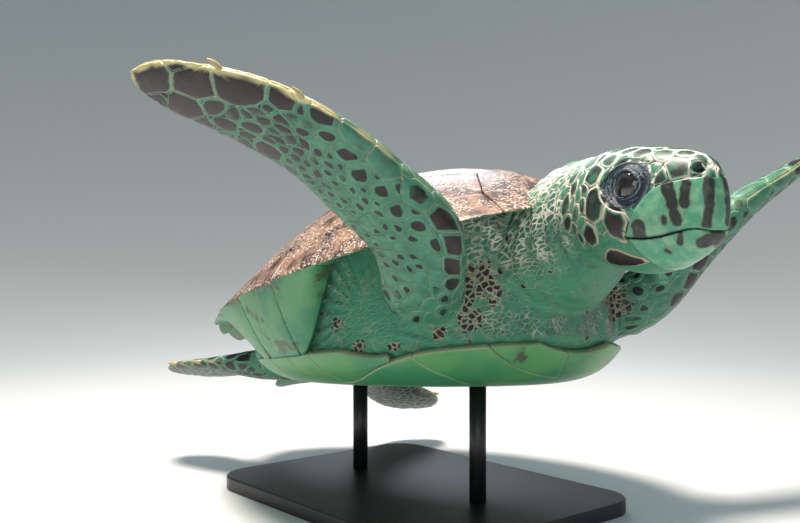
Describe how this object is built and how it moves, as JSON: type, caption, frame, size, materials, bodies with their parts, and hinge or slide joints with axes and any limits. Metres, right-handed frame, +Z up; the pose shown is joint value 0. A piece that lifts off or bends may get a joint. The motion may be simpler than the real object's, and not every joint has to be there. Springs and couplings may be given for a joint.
{
  "type": "hawksbill sea turtle display model",
  "caption": "Life-size still model of a hawksbill sea turtle swimming with its flippers raised, held on a flat base by rods under its shell.",
  "frame": {"origin": "middle of the whole model's footprint box, on the floor that the stand's base rests on", "axes": "+Z up, -Y the way the turtle swims, +X its left side; the animal itself is tipped 14 degrees nose up and 3.5 degrees left side down"},
  "size_m": [0.8214, 0.7974, 0.4256],
  "materials": {
    "shell_scutes": "glossy keratin plates, dark brown mottled with amber and cream",
    "plastron_scutes": "smooth pale yellow-green plates with brown smudges",
    "skin": "matt pale green-cream skin with dark brown polygonal scales",
    "beak_horn": "pale horn with dark brown vertical streaks",
    "claws": "amber-brown horn",
    "eyes": "wet, near-black",
    "stand_paint": "satin black powder coat"
  },
  "bodies": {
    "root": {"shell_vertebral_1": "shell_scutes", "shell_vertebral_2": "shell_scutes", "shell_vertebral_3": "shell_scutes", "shell_vertebral_4": "shell_scutes", "shell_vertebral_5": "shell_scutes", "shell_costal_left_1": "shell_scutes", "shell_costal_left_2": "shell_scutes", "shell_costal_left_3": "shell_scutes", "shell_costal_left_4": "shell_scutes", "shell_marginals_left": "shell_scutes", "bridge_left": "plastron_scutes", "shell_costal_right_1": "shell_scutes", "shell_costal_right_2": "shell_scutes", "shell_costal_right_3": "shell_scutes", "shell_costal_right_4": "shell_scutes", "shell_marginals_right": "shell_scutes", "bridge_right": "plastron_scutes", "shell_nuchal": "shell_scutes", "plastron": "plastron_scutes", "trunk": "skin", "neck": "skin", "tail": "skin", "front_flipper_right": "skin", "front_claw_1_right": "claws", "front_claw_2_right": "claws", "front_flipper_left": "skin", "front_claw_1_left": "claws", "front_claw_2_left": "claws", "hind_flipper_right": "skin", "hind_claw_1_right": "claws", "hind_claw_2_right": "claws", "hind_flipper_left": "skin", "hind_claw_1_left": "claws", "hind_claw_2_left": "claws", "head": "skin", "beak_upper": "beak_horn", "beak_lower": "beak_horn", "eye_left": "eyes", "eye_right": "eyes", "stand_base": "stand_paint", "stand_rod_front": "stand_paint", "stand_rod_rear": "stand_paint"}
  },
  "joints": []
}
